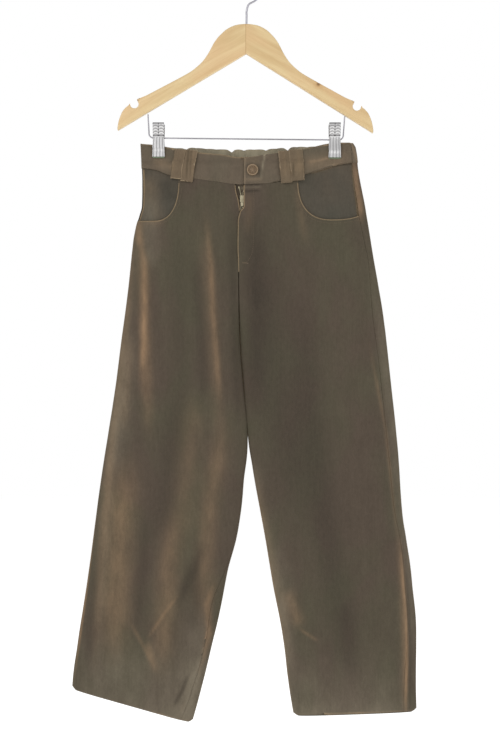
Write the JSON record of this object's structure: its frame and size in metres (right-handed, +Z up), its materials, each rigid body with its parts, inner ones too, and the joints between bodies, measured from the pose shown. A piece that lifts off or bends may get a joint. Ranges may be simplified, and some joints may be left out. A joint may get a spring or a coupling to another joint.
{
  "type": "trousers on a clip hanger",
  "caption": "Wide-leg velvet trousers with scoop pockets and a gathered back waist, hanging by clips from a wooden hanger.",
  "frame": {"origin": "the inside of the top of the hanger's hook, where it rests on a rail", "axes": "+Z up; the front of the trousers faces -Y; the wearer's right leg is at -X"},
  "size_m": [0.5914, 0.0673, 1.2803],
  "materials": {
    "velvet": "short cotton pile",
    "button": "satin",
    "zip_tape": "woven",
    "zip_metal": "dull",
    "wood": "satin lacquer",
    "steel": "bright plate",
    "rubber": "matt"
  },
  "bodies": {
    "trousers": {"front_panel_right": "velvet", "front_panel_left": "velvet", "back_panel_right": "velvet", "back_panel_left": "velvet", "pocket_facing_right": "velvet", "pocket_facing_left": "velvet", "waistband_front_right": "velvet", "waistband_front_left": "velvet", "waistband_back": "velvet", "belt_loop_right_side": "velvet", "belt_loop_right_front": "velvet", "belt_loop_left_front": "velvet", "belt_loop_left_side": "velvet", "button": "button", "zip_tape_right": "zip_tape", "zip_tape_left": "zip_tape", "zip_slider": "zip_metal", "hanger_wood": "wood", "hanger_hook": "steel", "clip_bar": "steel", "clip_right_front": "steel", "clip_right_back": "steel", "clip_spring_right": "steel", "clip_pad_right_front": "rubber", "clip_pad_right_back": "rubber", "clip_left_front": "steel", "clip_left_back": "steel", "clip_spring_left": "steel", "clip_pad_left_front": "rubber", "clip_pad_left_back": "rubber"},
    "zip_pull": {"zip_pull": "zip_metal"}
  },
  "joints": [
    {"name": "zip_pull_hinge", "type": "hinge", "parent": "trousers", "child": "zip_pull", "pos_m": [-0.0083, -0.02644, -0.38421], "axis": [-1, 0, 0], "range_deg": [0, 150]}
  ]
}
